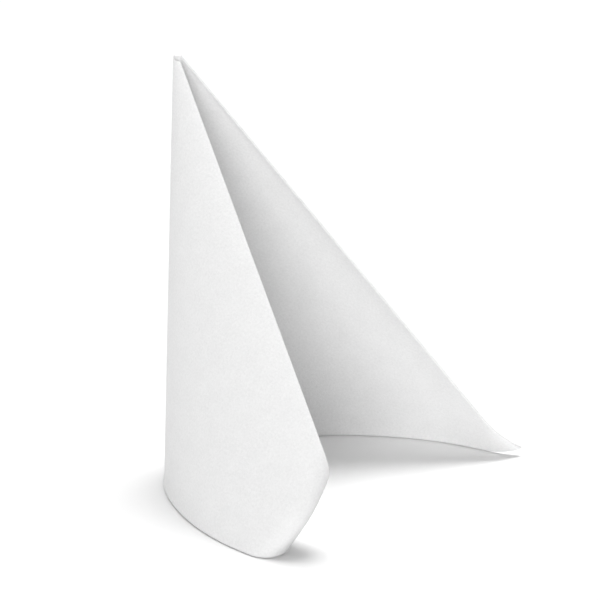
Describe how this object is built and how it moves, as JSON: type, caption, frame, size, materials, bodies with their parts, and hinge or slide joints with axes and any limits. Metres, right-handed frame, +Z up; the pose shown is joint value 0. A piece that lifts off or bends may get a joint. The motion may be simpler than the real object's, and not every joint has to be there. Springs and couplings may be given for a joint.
{
  "type": "folded paper napkin",
  "caption": "Plain white airlaid paper napkin folded to a standing point, with soft rolled wings that open to one side, the left tip turned in and the right tip curled outwards.",
  "frame": {"origin": "foot of the soft middle fold, where it meets the table", "axes": "+Z up along the middle fold to the point, +X the way the tent opens, +Y towards the side of the right wing"},
  "size_m": [0.1429, 0.1683, 0.1942],
  "materials": {
    "paper": "matte"
  },
  "bodies": {
    "root": {"napkin": "paper"}
  },
  "joints": []
}
